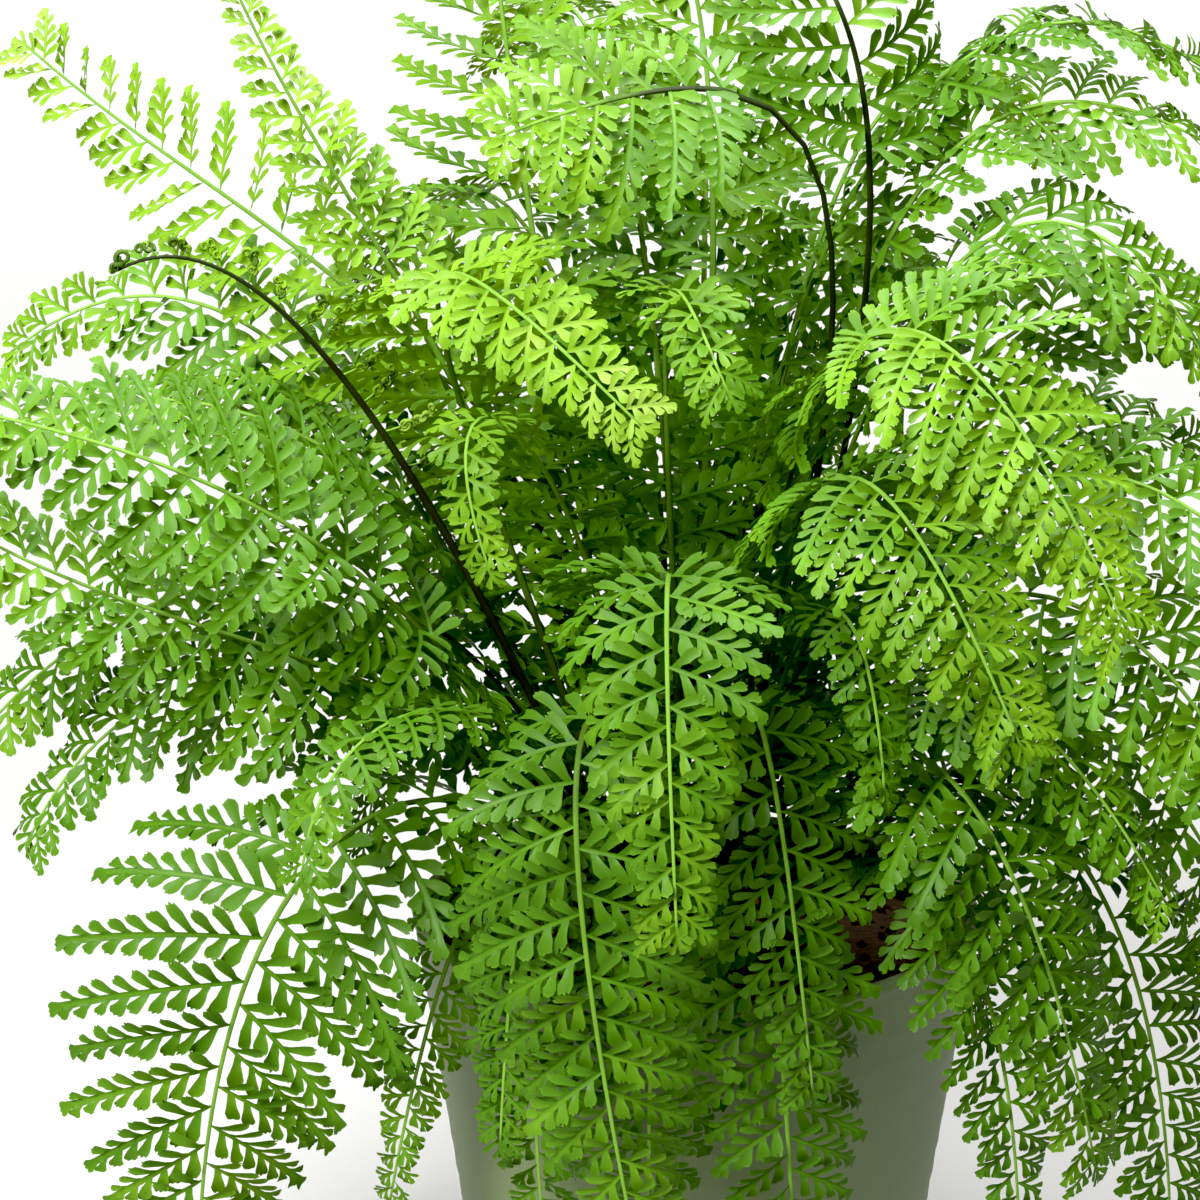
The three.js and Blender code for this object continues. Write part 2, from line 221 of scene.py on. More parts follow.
def lumps(x, y, scale):
    """Smooth seeded unevenness between about -1 and 1: a sum of waves, each turned another way,
    and shorter and lower than the last."""
    draw = np.random.RandomState(7)
    total = np.zeros_like(x)
    for k in range(LUMP_WAVES):
        angle = draw.uniform(0, 2 * math.pi)
        wave = (1 + k * 0.55) / scale
        phase = draw.uniform(0, 6.28)
        total += np.sin((x * math.cos(angle) + y * math.sin(angle)) * wave + phase) / (1 + 0.35 * k)
    return total / 3.4


rings = np.linspace(0, 1, SOIL_RINGS) ** SOIL_CROWDING * soil_edge
angles = np.linspace(0, 2 * np.pi, SOIL_SIDES, endpoint=False)
soil_x = rings[:, None] * np.cos(angles)
soil_y = rings[:, None] * np.sin(angles)
fall = np.clip((soil_edge - rings) / SOIL_FALL, 0, 1)[:, None]
soil_z = (soil_top - SOIL_DROP + SOIL_LUMP * fall * lumps(soil_x, soil_y, SOIL_LUMP_WIDTH)
          + SOIL_GRAIN * fall * lumps(soil_y, soil_x, SOIL_GRAIN_WIDTH))
points = np.stack([soil_x, soil_y, soil_z], axis=-1).reshape(-1, 3).tolist()
faces = ring_faces(0, SOIL_RINGS, SOIL_SIDES, flip=True)

draw = np.random.RandomState(11)
crumb_belt = soil_edge - (CRUMBS_FROM + CRUMBS_SHORT)
crumb_form = np.array([[1, 0, 0], [-1, 0, 0], [0, 1, 0], [0, -1, 0], [0, 0, 1], [0, 0, -1]], float)
crumb_faces = [(0, 2, 4), (2, 1, 4), (1, 3, 4), (3, 0, 4), (2, 0, 5), (1, 2, 5), (3, 1, 5), (0, 3, 5)]
for _ in range(CRUMBS):
    radius = CRUMBS_FROM + crumb_belt * math.sqrt(draw.rand())
    angle = draw.uniform(0, 2 * math.pi)
    size = CRUMB_SIZE[0] + (CRUMB_SIZE[1] - CRUMB_SIZE[0]) * draw.rand() ** 2.5
    shape = crumb_form * (size * draw.uniform(0.5, 1.2, 3)) * draw.uniform(0.8, 1.2, (6, 1))
    spin = draw.uniform(0, 6.28)
    cos, sin = math.cos(spin), math.sin(spin)
    turn = np.array([[cos, -sin, 0], [sin, cos, 0], [0, 0, 1]])
    spot = np.array([radius * math.cos(angle), radius * math.sin(angle), soil_top - CRUMB_SINK])
    start = len(points)
    points += (shape @ turn.T + spot).tolist()
    faces += [tuple(start + corner for corner in face) for face in crumb_faces]

# Damp peat with bark: crumbs of 2 mm in clouds of 4 mm, nearly black in the pores, browner on
# the crumbs, and dull all over.
peat, tree = new_finish("damp_peat_and_bark")
place = add_node(tree, "ShaderNodeTexCoord", {})
crumb = add_node(tree, "ShaderNodeTexVoronoi", {"Vector": (place, "Object"), "Scale": 520.0})
cloud = add_node(tree, "ShaderNodeTexNoise", {
    "Vector": (place, "Object"), "Scale": 260.0, "Detail": 6.0})
tone = add_node(tree, "ShaderNodeMix", {
    0: (cloud, "Fac"), 6: linear("1D140D"), 7: linear("5A412C")}, data_type="RGBA")
relief = add_node(tree, "ShaderNodeMath", {
    0: (crumb, "Distance"), 1: (cloud, "Fac")}, operation="MULTIPLY")
grain = add_node(tree, "ShaderNodeBump", {"Height": (relief, 0), "Strength": 0.8, "Distance": 0.0012})
shader = add_node(tree, "ShaderNodeBsdfPrincipled", {
    "Base Color": (tone, 2), "Roughness": 0.95, "Normal": (grain, "Normal")})
add_node(tree, "ShaderNodeOutputMaterial", {"Surface": (shader, "BSDF")})

soil = smooth_piece("potting_soil", points, faces, [peat])
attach(soil, "root")
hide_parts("soil")


# The fronds
# Each frond is one living leaf: a stalk grown from the crown, a midrib that arches over, and
# leaflets on both sides that are cut again into small blunt lobes with notched ends. Older fronds
# hang outside, and younger ones stand in the middle. Lengths here are millimetres.

# The crown's radius, its top, how far out it stays flat, and how deep the stalks stand in it
CROWN_RADIUS = 40.0
CROWN_TOP = 143.0
CROWN_FLAT = 0.88
SOCKET_DEPTH = 3.0

# The usual ways out of hanging, spreading and upright fronds (level 0, 0.5 and 1), each as the
# radius and height of its root, rise, shoulder and tip
HANGING = [[37, 138], [58, 205], [112, 225], [122, 62]]
SPREADING = [[24, 140], [44, 290], [122, 332], [182, 205]]
UPRIGHT = [[5, 142], [14, 350], [62, 462], [160, 388]]

# The midrib: the stalk's bare share on low and high fronds, where along it the blade turns over,
# half widths at foot, neck and tip, how a stalk greens, and where a stout one reaches its width
BARE_STALK = [0.24, 0.46]
TURN_SPAN = [0.25, 0.65]
STALK_FOOT = 1.2
STALK_NECK = 0.95
RIB_END = 0.35
STALK_RINGS = 18
RIB_RINGS = 34
RIB_STOP = 0.995
DARK_MARK = 0.2
GREENING = 0.12
GREEN_MARK = 0.8
STOUT_SPAN = [0.05, 0.3]

# The leaflets: how they lift, sag, sweep and lean, the room each has, how they crowd towards the
# tip, where the widest are, and how their reach grows to there and shrinks beyond
LEAFLET_LIFT = 0.1
LEAFLET_SAG = 0.3
LEAFLET_SWEEP = 0.16
LEAFLET_LEAN = [86, 52]
LEAFLET_PITCH = 11.0
LEAFLET_CLOSENESS = 1.12
CROWDING = 1.25
WIDEST = 0.3
FOOT_SHARE = 0.35
TAPER = 0.75
SHORTEST_LEAFLET = 3.0
OFF_MIDRIB = 0.4

# The small leaflets below the blade, from this share of the bare stalk: their step and reach
LEAFLETS_FROM = 0.4
BELOW_STEP = 1.2
BELOW_SHARE = 0.32

# The one at the very tip: where it starts, its reach and its room
LAST_LEAFLET = 0.985
LAST_REACH = 7.0
LAST_ROOM = 6.0

# How much older and darker than the frond its first leaflets look, partly by age and partly as
# painted shade deep in the plant, and how much fresher its last
OLD_AND_SHADED_FOOT = 0.22
YOUNG_TIP = 0.2

# The fronds at the front and on both sides, one by one: azimuth and level of the stalk; rise,
# shoulder and tip that bend the midrib, where they aren't the usual ones; spread, half the blade's
# width; turn, how far the blade turns over, and twist, how far each leaflet does; bare, the
# stalk's share without leaflets; foot, the leaflets' share of the spread where they begin; fine,
# the share of the usual room between them; dark, the share of the length that stays dark; and
# age, from fresh 0 to old 1. Angles are degrees, but twist is radians.
FRONDS = [
    dict(azimuth=-97, level=0.45, shoulder=(-15, -117, 323), tip=(-8, -136, 190), spread=38, age=0.55),
    dict(azimuth=-107.5, level=0.26, shoulder=(-58, -140, 298), tip=(-12, -120, 72), spread=41, age=0.55),
    dict(azimuth=-50, level=0.8, shoulder=(45, -75, 390), tip=(103, -113, 262), spread=49, turn=25,
         age=0.3, fine=0.87),
    dict(azimuth=-59, level=0.6, shoulder=(32, -105, 342), tip=(78, -118, 232), spread=44, turn=18,
         bare=0.41, age=0.4, fine=0.87),
    dict(azimuth=-150, level=0.78, rise=(-80, 20, 330), shoulder=(-95, -60, 382), tip=(-16, -106, 312),
         spread=36, turn=20, bare=0.42, age=0.1),
    dict(azimuth=-138, level=0.36, rise=(-66, -40, 262), shoulder=(-112, -98, 304), tip=(-214, -86, 318),
         spread=43, turn=-50, bare=0.3, foot=0.8, age=0.55),
    dict(azimuth=-151, level=0.1, shoulder=(-132, -108, 236), tip=(-134, -84, 60), spread=58, turn=-70,
         age=0.5),
    dict(azimuth=-55, level=0.2, shoulder=(72, -118, 262), tip=(102, -100, 112), spread=40, turn=15,
         age=0.6),
    dict(azimuth=-82, level=0.22, shoulder=(12, -104, 284), tip=(28, -102, 134), spread=36, age=0.75),
    dict(azimuth=-74, level=0.02, shoulder=(16, -114, 205), tip=(26, -90, 62), spread=32, age=0.7),
    dict(azimuth=-22, level=0.14, shoulder=(124, -70, 225), tip=(130, -50, 58), spread=40, turn=45,
         age=0.8),
    dict(azimuth=-28, level=0.42, shoulder=(112, -88, 300), tip=(154, -92, 175), spread=40, turn=30,
         age=0.5),
    dict(azimuth=-10, level=0.9, rise=(50, -5, 350), shoulder=(52, -28, 414), tip=(-55, -69, 377),
         spread=42, turn=-40, bare=0.8, foot=0.85, age=0.3, dark=0.84),
    dict(azimuth=23.75, level=0.89, rise=(63, 11, 338), shoulder=(58.5, 4, 427), tip=(-9, 17, 430),
         spread=38, turn=-30, bare=0.7, foot=0.85, age=0.35, dark=0.8),
    dict(azimuth=74.25, level=0.93, shoulder=(76, 46, 458), tip=(169, 37, 352), spread=36, bare=0.6,
         age=0.5),
    dict(azimuth=154, level=0.7, shoulder=(-120, 32, 326.5), tip=(-186, 43, 386), spread=42, turn=-74.5,
         age=0.1, twist=-0.8),
    dict(azimuth=165, level=0.85, rise=(-50, 8, 300), shoulder=(-102, 0, 350), tip=(-126, 4, 412),
         spread=24, turn=-60, bare=0.5, age=0.15, twist=-0.6),
    dict(azimuth=16, level=0.59, shoulder=(98, 12, 360), tip=(170, 4, 294), spread=39, turn=30, age=0.5),
    dict(azimuth=-160, level=0.22, shoulder=(-134, -57, 228), tip=(-208, -64, 288), spread=42, turn=-50,
         age=0.5),
    dict(azimuth=178.5, level=0.4, shoulder=(-154, -9, 270), tip=(-206, -18, 192), spread=42.5, turn=-30,
         age=0.6),
    dict(azimuth=-128, level=0.66, shoulder=(-80, -90, 345), tip=(-54, -96, 272), spread=24, age=0.4),
    dict(azimuth=-105, level=0.75, shoulder=(-20, -60, 375), tip=(5, -98, 318), spread=36, age=0.55),
    dict(azimuth=-48, level=0.29, shoulder=(75, -95, 265), tip=(118, -100, 185), spread=36, turn=10,
         age=0.6),
    dict(azimuth=-69, level=0.34, shoulder=(40, -80, 290), tip=(45, -99, 215), spread=23, age=0.75),
    dict(azimuth=-142, level=0.05, shoulder=(-66, -78, 190), tip=(-84, -62, 86), spread=18, turn=-30,
         age=0.5),
    dict(azimuth=-122, level=0.03, shoulder=(-50, -104, 190), tip=(-42, -92, 95), spread=30, age=0.75),
    dict(azimuth=-97, level=0, shoulder=(-16, -112, 190), tip=(-14, -90, 70), spread=28, age=0.65),
    dict(azimuth=-47, level=0.03, shoulder=(79, -96, 205), tip=(84, -88, 82), spread=27, turn=20, age=0.75),
    dict(azimuth=-126, level=0.22, shoulder=(-97, -104, 257), tip=(-102, -112, 197), spread=31.5, age=0.65),
    dict(azimuth=-176, level=0.15, shoulder=(-148, -20, 252), tip=(-182, -34, 180), spread=42, turn=-30,
         age=0.7),
    dict(azimuth=-18, level=0.49, shoulder=(110, -53, 330), tip=(165, -75, 235), spread=42, turn=30,
         age=0.5),
    dict(azimuth=-12, level=0.24, shoulder=(125, -40, 250), tip=(160, -45, 120), spread=44, turn=40,
         age=0.6),
    dict(azimuth=5.5, level=0.74, shoulder=(88, -7.5, 406), tip=(137.5, -34.5, 301.5), spread=39,
         turn=22, bare=0.54, age=0.5),
    dict(azimuth=171.75, level=0.455, shoulder=(-146, 4, 325), tip=(-206, -4, 274), spread=39.5,
         turn=-20.5, age=0.5),
    dict(azimuth=-62, level=0.1, shoulder=(64, -101, 236), tip=(69, -98, 152), spread=21, age=0.7),
    dict(azimuth=-128, level=0.1, shoulder=(-48, -94, 226), tip=(-53, -96, 118), spread=24, age=0.7),
    dict(azimuth=32, level=0.7, rise=(30, 16, 330), shoulder=(60, 18, 424), tip=(162, 16, 346),
         spread=34, turn=20, bare=0.6, age=0.4),
    dict(azimuth=11, level=0.5, shoulder=(118, 24, 322), tip=(167, 34, 240), spread=40, turn=20, age=0.6),
    dict(azimuth=116, level=0.84, rise=(4, 28, 304), shoulder=(15, 42, 400), tip=(-18, 46, 440),
         spread=34, turn=-30, bare=0.6, age=0.3),
    dict(azimuth=155, level=0.55, rise=(-70, 33, 264), shoulder=(-128, 56, 352), tip=(-196, 60, 294),
         spread=38, turn=-48, bare=0.45, age=0.4),
    dict(azimuth=152, level=0.97, rise=(-45, 16, 290), shoulder=(-56, 34, 420), tip=(-62, 52, 462),
         spread=44, turn=-56, bare=0.5, age=0.3, twist=-0.8),
]

# The fronds round the back, spaced by the golden ratio from low and old to high and fresher
BACK_FRONDS = 15
BACK_START = 45.0
BACK_SWEEP = 102.0
BACK_TOP = 0.96
BACK_SPREAD = [35.0, 35.5]
BACK_AGE = [0.8, 0.5]
GOLDEN = 0.618034
for order in range(BACK_FRONDS):
    level = BACK_TOP * (order + 0.5) / BACK_FRONDS
    wide = (order * GOLDEN * GOLDEN) % 1
    spread = BACK_SPREAD[0] + (BACK_SPREAD[1] - BACK_SPREAD[0]) * wide
    FRONDS.append(dict(azimuth=BACK_START + BACK_SWEEP * ((order * GOLDEN) % 1), level=level,
                       spread=spread, age=BACK_AGE[0] - BACK_AGE[1] * level))


def mix(a, b, share):
    """A value between a and b."""
    return a + (b - a) * share


def smoothstep(values, low, high):
    """0 below low, 1 above high and an even passage between them."""
    share = np.clip((values - low) / (high - low), 0, 1)
    return share * share * (3 - 2 * share)


def unit(vectors):
    """Vectors of the same directions, each of length 1."""
    return vectors / np.linalg.norm(vectors, axis=-1, keepdims=True)


def way_out(azimuth, level, k):
    """A place on a stalk's usual way out: k is 0 for root, 1 rise, 2 shoulder and 3 tip."""
    low, high = (HANGING, SPREADING) if level < 0.5 else (SPREADING, UPRIGHT)
    share = 2 * level if level < 0.5 else 2 * level - 1
    radius = mix(low[k][0], high[k][0], share)
    angle = math.radians(azimuth)
    return [radius * math.cos(angle), radius * math.sin(angle), mix(low[k][1], high[k][1], share)]


def midrib(frond):
    """The four points that bend a frond's midrib, with its root a little way into the crown."""
    azimuth, level = frond["azimuth"], frond["level"]
    root = way_out(azimuth, level, 0)
    edge = CROWN_RADIUS * CROWN_FLAT
    beyond = max(0.0, (math.hypot(root[0], root[1]) - edge) / (CROWN_RADIUS - edge))
    root[2] = mix(CROWN_TOP, soil_top, beyond) - SOCKET_DEPTH
    bends = [frond.get(name) or way_out(azimuth, level, k)
             for k, name in enumerate(("rise", "shoulder", "tip"), 1)]
    return np.array([root, *bends], float)


def walk(course, shares, turn=0.0):
    """Places on a midrib by share of its length: points, directions along, aside and up, and the
    midrib's whole length."""

    def bend(t):
        return ((1 - t) ** 3 * course[0] + 3 * (1 - t) ** 2 * t * course[1]
                + 3 * (1 - t) * t ** 2 * course[2] + t ** 3 * course[3])

    fine = np.linspace(0, 1, 201)[:, None]
    steps = np.r_[0, np.cumsum(np.linalg.norm(np.diff(bend(fine), axis=0), axis=1))]
    t = np.interp(np.asarray(shares) * steps[-1], steps, fine[:, 0])[:, None]
    along = unit((1 - t) ** 2 * (course[1] - course[0]) + 2 * (1 - t) * t * (course[2] - course[1])
                 + t ** 2 * (course[3] - course[2]))
    outward = (course[3] - course[0]) * [1, 1, 0]
    level = np.cross([0.0, 0.0, 1.0], unit(outward))
    side = unit(level - along * (along @ level)[:, None])
    roll = np.radians(turn * smoothstep(np.asarray(shares), *TURN_SPAN))[:, None]
    side = side * np.cos(roll) + np.cross(along, side) * np.sin(roll)
    return bend(t), along, side, np.cross(along, side), steps[-1]


class Leaf:
    """Collects the points and faces of one frond, with three marks at each point: how near it is
    to a rib, how near to a notched end, and how old the leaf looks there, with painted shade in it
    towards a blade's foot."""

    def __init__(self):
        self.points = []
        self.marks = []
        self.faces = []
        self.finish = []
        self.count = 0

    def add(self, points, rib, rim, tone):
        """Adds points (n, 3) with their marks, and returns the number of the first."""
        first = self.count
        self.points.append(points)
        marks = np.empty((len(points), 3))
        marks[:, 0], marks[:, 1], marks[:, 2] = rib, rim, tone
        self.marks.append(marks)
        self.count += len(points)
        return first

    def fill(self, faces, finish=0):
        """Adds faces of leaf (finish 0) or of stalk (finish 1)."""
        self.faces += faces
        self.finish += [finish] * len(faces)


# One lobe of a leaflet: rows across it as (share of length, share of half width), then its blunt
# notched end, as (share of length, share across)
LOBE_ROWS = [(0.2, 0.56), (0.45, 0.78), (0.68, 1.0), (0.86, 0.94)]
LOBE_END = [(0.96, -0.66), (0.93, -0.36), (1.04, -0.06), (0.95, 0.26), (0.98, 0.6)]
LOBE_BEND = 0.16
LOBE_SAG = 0.2
LOBE_CUP = 0.3
LOBE_UNEVEN = 0.07
END_UNEVEN = 0.03

# Lobes along a leaflet. Those towards the frond's tip (1) are shorter, wider and flatter than
# those towards its foot (-1). Lengths are shares of the leaflet's room, and half widths are shares
# of the way from one lobe to the next. The end lobe has its length as a share of that way, and its
# half width as a share of its length.
LOBE_PITCH = 0.43
FIRST_LOBE = 0.62
LOBE_ROOT = 0.23
LOBE_SKEW = 0.25
LOBE_LEAN = [66, 38]
LOBE_LENGTH = {1: 0.62, -1: 0.76}
LOBE_WIDTH = {1: 0.48, -1: 0.41}
LOBE_STOUTEST = 0.5
LOBE_FOLD = {1: [4, 20], -1: [22, 48]}
FOLD_EASING = 0.6
FIRST_LOBE_LONGER = 1.12
END_LOBE = [0.95, 0.42]

# The leaflet's wing, the narrow blade that joins its lobes: its width near the midrib and near
# the end, where it widens and the lobes shorten into it, and how much wider a small leaflet's is
WING = [0.12, 0.2]
FUSED_SPAN = [0.2, 1.0]
FUSED_SHARE = 0.56
SMALL_REACH = 6.0
SMALL_WING = 0.12

# How far past its reach a leaflet's course is drawn, and in what steps
COURSE_END = 1.1
COURSE_STEP = 0.05

# The rib mark on a leaflet's rib, and the rib and rim marks on the edges of its wing
RIB_MARK = 0.9
WING_MARKS = [0.12, 0.1]
ROW_SHARE = np.array([[s, s, s] for s, _ in LOBE_ROWS]).ravel()
ROW_ACROSS = np.array([[-w, 0, w] for _, w in LOBE_ROWS]).ravel()
LOBE_S = np.r_[ROW_SHARE, [s for s, _ in LOBE_END]]
LOBE_X = np.r_[ROW_ACROSS, [x for _, x in LOBE_END]]
LOBE_RIB = np.r_[np.tile([0.0, 0.5, 0.0], len(LOBE_ROWS)), np.zeros(len(LOBE_END))]
LOBE_RIM = np.r_[np.tile([0.5, 0.0, 0.5], len(LOBE_ROWS)), [1.0, 0.6, 1.0, 0.6, 1.0]]
LOBE_LAST = 3 * len(LOBE_ROWS)


def lobe_faces(first, low, high, middle=None):
    """Faces of a lobe whose points start at first, on the edge points low and high of its rib."""
    if middle is None:
        faces = [(low, high, first + 1), (low, first + 1, first), (high, first + 2, first + 1)]
    else:
        faces = [(low, middle, first + 1, first), (middle, high, first + 2, first + 1)]
    for row in range(len(LOBE_ROWS) - 1):
        a = first + 3 * row
        faces += [(a, a + 1, a + 4, a + 3), (a + 1, a + 2, a + 5, a + 4)]
    hub = first + LOBE_LAST - 2
    ring = [hub - 1] + [first + LOBE_LAST + k for k in range(len(LOBE_END))] + [hub + 1]
    return faces + [(hub, b, a) for a, b in zip(ring[:-1], ring[1:])]


def lobe_points(root, heading, across, up, length, half, draw):
    """Points of several lobes at once, each as LOBE_S by LOBE_X."""
    count = len(root)
    ragged = np.r_[np.zeros(LOBE_LAST), np.full(len(LOBE_END), END_UNEVEN)]
    s = (LOBE_S + ragged * draw.normal(0, 1, (count, len(LOBE_S))))[..., None]
    x = (LOBE_X * (1 + draw.normal(0, LOBE_UNEVEN, (count, len(LOBE_X)))))[..., None]
    length, half = length[:, None, None], half[:, None, None]
    droop = LOBE_SAG * draw.normal(1, 0.5, (count, 1, 1))
    return (root[:, None] + heading[:, None] * length * s
            + across[:, None] * (x * half + LOBE_BEND * length * s * s)
            + up[:, None] * (np.abs(x) * half * LOBE_CUP - droop * length * s * s))


def leaflet(leaf, base, out, forward, up, reach, pitch, tone, draw,
            lift=LEAFLET_LIFT, sag=LEAFLET_SAG, twist=0.0):
    """One leaflet with its rib and lobes, from base on the midrib. forward points to the frond's
    tip, and pitch is the room that the leaflet has along the midrib."""
    lobe_pitch = LOBE_PITCH * pitch
    count = max(1, round(reach / lobe_pitch - 0.7))
    total = count + FIRST_LOBE
    centres = (np.arange(count) + FIRST_LOBE) / total
    hold = LOBE_ROOT / total
    roots = np.stack([centres - hold, centres + hold], axis=1).ravel()
    stations = np.r_[0.0, roots, centres[-1] + 2.1 * hold]

    mirrored = np.sign(np.cross(out, forward) @ up)
    fine = np.linspace(0, COURSE_END, round(COURSE_END / COURSE_STEP) + 1)[:, None]
    bent = lift - 2 * sag * fine
    course = unit(out * np.cos(bent) + up * np.sin(bent) + forward * 2 * LEAFLET_SWEEP * fine)
    moves = (course[1:] + course[:-1]) / 2 * COURSE_STEP
    path = base + reach * np.cumsum(np.r_[np.zeros((1, 3)), moves], axis=0)

    def on_rib(u):
        return np.stack([np.interp(u, fine[:, 0], path[:, k]) for k in range(3)], axis=1)

    def frame_on(u):
        ahead = unit(np.stack([np.interp(u, fine[:, 0], course[:, k]) for k in range(3)], axis=1))
        aside = unit(forward - ahead * (ahead @ forward)[:, None])
        top = mirrored * np.cross(ahead, aside)
        cos, sin = math.cos(twist), math.sin(twist)
        return ahead, aside * cos + top * sin, top * cos - aside * sin

    skew = LOBE_SKEW / total
    small = np.clip(SMALL_REACH / reach, 0, 1.5)
    middle = leaf.add(on_rib(stations), RIB_MARK, 0.0, tone)
    edges = {}
    for sign in (1, -1):
        fold = math.radians(draw.uniform(*LOBE_FOLD[sign]))

        def spread_on(u):
            ahead, aside, top = frame_on(u)
            easing = fold * (1 - FOLD_EASING * smoothstep(u, *FUSED_SPAN))[:, None]
            over = sign * aside * np.cos(easing) + top * np.sin(easing)
            return ahead, over, top * np.cos(easing) - sign * aside * np.sin(easing)

        def wing_on(u):
            return (mix(*WING, smoothstep(u, *FUSED_SPAN)) + SMALL_WING * small) * lobe_pitch

        u = np.clip(stations + sign * skew * (stations > 0), 0, COURSE_END)
        ahead, over, top = spread_on(u)
        narrow = np.where(stations == 0, 0.5, 1.0)
        edge = on_rib(u) + over * (wing_on(u) * narrow)[:, None]
        edges[sign] = leaf.add(edge, *WING_MARKS, tone)
        strip = []
        for k in range(len(stations) - 1):
            quad = (middle + k, edges[sign] + k, edges[sign] + k + 1, middle + k + 1)
            strip.append(quad[::-1] if sign * mirrored > 0 else quad)
        leaf.fill(strip)

        u = np.clip(centres + sign * skew, 0, COURSE_END)
        ahead, over, top = spread_on(u)
        angle = np.radians(mix(*LOBE_LEAN, centres) + draw.normal(0, 4, count))[:, None]
        heading = ahead * np.cos(angle) + over * np.sin(angle)
        across = ahead * np.sin(angle) - over * np.cos(angle)
        fullness = 1 - FUSED_SHARE * smoothstep(centres, *FUSED_SPAN)
        if sign > 0 and count > 3:
            fullness[0] *= FIRST_LOBE_LONGER
        length = LOBE_LENGTH[sign] * pitch * fullness * draw.normal(1, 0.07, count)
        half = LOBE_WIDTH[sign] * lobe_pitch * np.sin(angle[:, 0]) * draw.normal(1, 0.08, count)
        half = np.minimum(half, length * LOBE_STOUTEST)
        root = on_rib(u) + over * (wing_on(u) * 0.9)[:, None]
        points = lobe_points(root, heading, across, top, length, half, draw).reshape(-1, 3)
        first = leaf.add(points, np.tile(LOBE_RIB, count), np.tile(LOBE_RIM, count), tone)
        for k in range(count):
            near = edges[sign] + 1 + 2 * k
            lobe = lobe_faces(first + k * len(LOBE_S), near, near + 1)
            leaf.fill(lobe if sign * mirrored > 0 else [corners[::-1] for corners in lobe])

    ahead, aside, top = frame_on(stations[-1:])
    length = np.array([lobe_pitch * END_LOBE[0]])
    half = length * END_LOBE[1]
    points = lobe_points(on_rib(stations[-1:]), ahead, aside, top, length, half, draw)
    first = leaf.add(points.reshape(-1, 3), LOBE_RIB, LOBE_RIM, tone)
    end = len(stations) - 1
    tip = lobe_faces(first, edges[-1] + end, edges[1] + end, middle + end)
    leaf.fill([corners[::-1] for corners in tip] if mirrored > 0 else tip)


# A stalk cut across, in shares of its half width: round below, with a groove along its top
RIB_SECTION = np.array([(1, 0), (0.62, 0.55), (0, 0.25), (-0.62, 0.55),
                        (-1, 0), (-0.7, -0.6), (0, -0.85), (0.7, -0.6)])


def rod(leaf, point, side, up, half, mark, tone, finish=1):
    """A grooved rod through the given points, with its own half width at each."""
    rings = (point[:, None] + side[:, None] * (half[:, None] * RIB_SECTION[:, 0])[..., None]
             + up[:, None] * (half[:, None] * RIB_SECTION[:, 1])[..., None])
    around = len(RIB_SECTION)
    first = leaf.add(rings.reshape(-1, 3), np.repeat(mark, around), 0.0, tone)
    faces = ring_faces(first, len(point), around)
    end = first + (len(point) - 1) * around
    faces.append(tuple(end + k for k in range(around)))
    leaf.fill(faces, finish)


def stalk(leaf, frond, start):
    """Stalk and midrib in one, tapering to the tip. It greens on its way up, and a dark one only
    past the given share of its length."""
    shares = np.r_[np.linspace(0, start, STALK_RINGS), np.linspace(start, RIB_STOP, RIB_RINGS)[1:]]
    point, along, side, up, _ = walk(midrib(frond), shares, frond.get("turn", 0))
    half = np.where(shares < start, mix(STALK_FOOT, STALK_NECK, shares / start),
                    mix(STALK_NECK, RIB_END, np.clip((shares - start) / (1 - start), 0, 1)))
    green = shares
    dark = frond.get("dark")
    if dark:
        green = np.interp(shares, [0, dark, dark + GREENING], [0, DARK_MARK, GREEN_MARK])
    half = half * mix(1, frond.get("stout", 1), smoothstep(shares, *STOUT_SPAN))
    rod(leaf, point, side, up, half, green, frond["age"])


